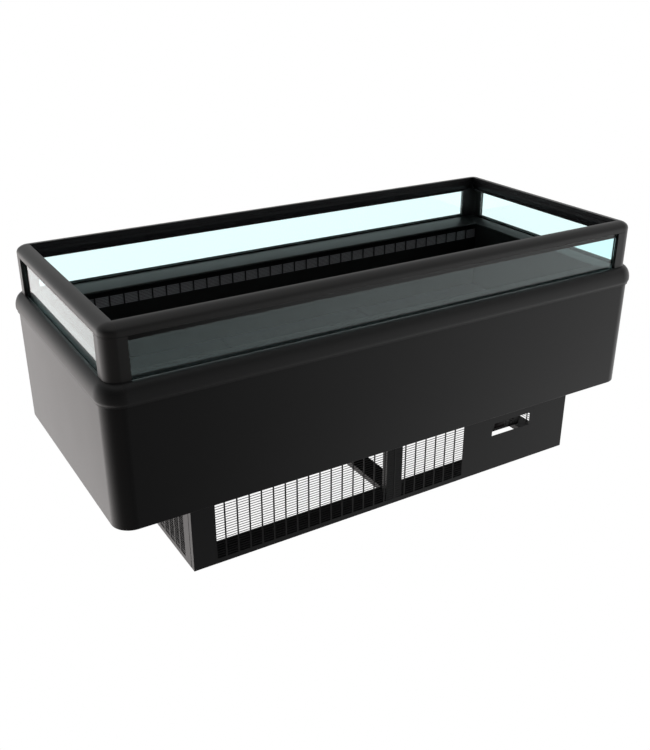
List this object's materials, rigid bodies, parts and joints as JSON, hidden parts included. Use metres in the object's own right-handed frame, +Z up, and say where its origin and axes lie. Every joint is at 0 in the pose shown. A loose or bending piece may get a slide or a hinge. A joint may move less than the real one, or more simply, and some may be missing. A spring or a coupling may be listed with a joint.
{
  "type": "island chest freezer",
  "caption": "Open-top island chest freezer with glass sides above an insulated tank, on a slotted plinth that holds the cooling unit.",
  "frame": {"origin": "on the floor under the middle of the cabinet", "axes": "+X along the cabinet's length, -Y towards the operator's front with the control opening, +Z up"},
  "size_m": [2.018, 0.938, 0.86],
  "materials": {
    "wall_paint": "satin black powder coat on sheet steel",
    "base_steel": "fine-textured black powder coat on sheet steel",
    "tank_paint": "satin dark grey powder coat, food side",
    "bumper_pvc": "matt black PVC extrusion",
    "rail_aluminium": "satin black anodised extrusion",
    "clear_glass": "clear toughened glass with a pale cyan tint",
    "foot_nylon": "black moulded nylon",
    "zinc_steel": "zinc-plated steel",
    "foam": "rigid polyurethane foam, sealed inside",
    "fin_aluminium": "bare aluminium fins on tube",
    "fan_plastic": "black moulded plastic",
    "compressor_paint": "gloss black enamel on pressed steel"
  },
  "bodies": {
    "cabinet": {"base_rails": "base_steel", "cross_rails": "base_steel", "uprights": "base_steel", "front_grille": "base_steel", "front_panel_left": "base_steel", "front_panel_right": "base_steel", "rear_grille": "base_steel", "end_grille_left": "base_steel", "end_grille_right": "base_steel", "foot_lock_nuts": "zinc_steel", "underside_panel": "wall_paint", "outer_panel_front": "wall_paint", "outer_panel_rear": "wall_paint", "outer_panel_left": "wall_paint", "outer_panel_right": "wall_paint", "outer_corners": "wall_paint", "foam_insulation": "foam", "tank_floor": "tank_paint", "tank_walls": "tank_paint", "duct_panel_front": "tank_paint", "duct_panel_rear": "tank_paint", "evaporator_coil": "fin_aluminium", "evaporator_fan_plate": "tank_paint", "evaporator_fan_motors": "zinc_steel", "drain_pipe": "fan_plastic", "coaming": "tank_paint", "bumper_front": "bumper_pvc", "bumper_rear": "bumper_pvc", "bumper_ends": "bumper_pvc", "bumper_corners": "bumper_pvc", "glass_front": "clear_glass", "glass_rear": "clear_glass", "glass_left": "clear_glass", "glass_right": "clear_glass", "corner_posts": "rail_aluminium", "frame_front": "rail_aluminium", "frame_rear": "rail_aluminium", "frame_ends": "rail_aluminium", "frame_corners": "rail_aluminium", "unit_tray": "zinc_steel", "compressor": "compressor_paint", "condenser_coil": "fin_aluminium", "condenser_fan_shroud": "base_steel", "condenser_fan_motor": "zinc_steel", "cord_gland": "fan_plastic", "control_bracket": "base_steel", "controller": "fan_plastic"},
    "foot_front_left": {"foot_front_left": "foot_nylon"},
    "foot_front_right": {"foot_front_right": "foot_nylon"},
    "foot_rear_left": {"foot_rear_left": "foot_nylon"},
    "foot_rear_right": {"foot_rear_right": "foot_nylon"},
    "deck_pan_left": {"deck_pan_left": "tank_paint"},
    "deck_pan_middle": {"deck_pan_middle": "tank_paint"},
    "deck_pan_right": {"deck_pan_right": "tank_paint"},
    "evaporator_fan_left": {"evaporator_fan_left": "fan_plastic"},
    "evaporator_fan_right": {"evaporator_fan_right": "fan_plastic"},
    "condenser_fan": {"condenser_fan": "fan_plastic"},
    "key_up": {"key_up": "fan_plastic"},
    "key_down": {"key_down": "fan_plastic"},
    "power_switch": {"power_switch": "fan_plastic"}
  },
  "joints": [
    {"name": "foot_front_left_turn", "type": "hinge", "parent": "cabinet", "child": "foot_front_left", "pos_m": [-0.697, -0.366, 0.02], "axis": [0, 0, 1], "continuous": true},
    {"name": "foot_front_right_turn", "type": "hinge", "parent": "cabinet", "child": "foot_front_right", "pos_m": [0.697, -0.366, 0.02], "axis": [0, 0, 1], "continuous": true},
    {"name": "foot_rear_left_turn", "type": "hinge", "parent": "cabinet", "child": "foot_rear_left", "pos_m": [-0.697, 0.366, 0.02], "axis": [0, 0, 1], "continuous": true},
    {"name": "foot_rear_right_turn", "type": "hinge", "parent": "cabinet", "child": "foot_rear_right", "pos_m": [0.697, 0.366, 0.02], "axis": [0, 0, 1], "continuous": true},
    {"name": "deck_pan_left_lift", "type": "slide", "parent": "cabinet", "child": "deck_pan_left", "axis": [0, 0, 1], "range_m": [0, 0.5]},
    {"name": "deck_pan_middle_lift", "type": "slide", "parent": "cabinet", "child": "deck_pan_middle", "axis": [0, 0, 1], "range_m": [0, 0.5]},
    {"name": "deck_pan_right_lift", "type": "slide", "parent": "cabinet", "child": "deck_pan_right", "axis": [0, 0, 1], "range_m": [0, 0.5]},
    {"name": "evaporator_fan_left_spin", "type": "hinge", "parent": "cabinet", "child": "evaporator_fan_left", "pos_m": [-0.25, -0.07, 0.355], "axis": [0, 1, 0], "continuous": true},
    {"name": "evaporator_fan_right_spin", "type": "hinge", "parent": "cabinet", "child": "evaporator_fan_right", "pos_m": [0.25, -0.07, 0.355], "axis": [0, 1, 0], "continuous": true},
    {"name": "condenser_fan_spin", "type": "hinge", "parent": "cabinet", "child": "condenser_fan", "pos_m": [0.27, 0.25, 0.127], "axis": [0, 1, 0], "continuous": true},
    {"name": "key_up_press", "type": "slide", "parent": "cabinet", "child": "key_up", "axis": [0, 1, 0], "range_m": [0, 0.001], "stiffness_N_per_m": 500},
    {"name": "key_down_press", "type": "slide", "parent": "cabinet", "child": "key_down", "axis": [0, 1, 0], "range_m": [0, 0.001], "stiffness_N_per_m": 500},
    {"name": "power_switch_rock", "type": "hinge", "parent": "cabinet", "child": "power_switch", "pos_m": [0.529, -0.395, 0.163], "axis": [1, 0, 0], "range_deg": [-20, 0]}
  ]
}
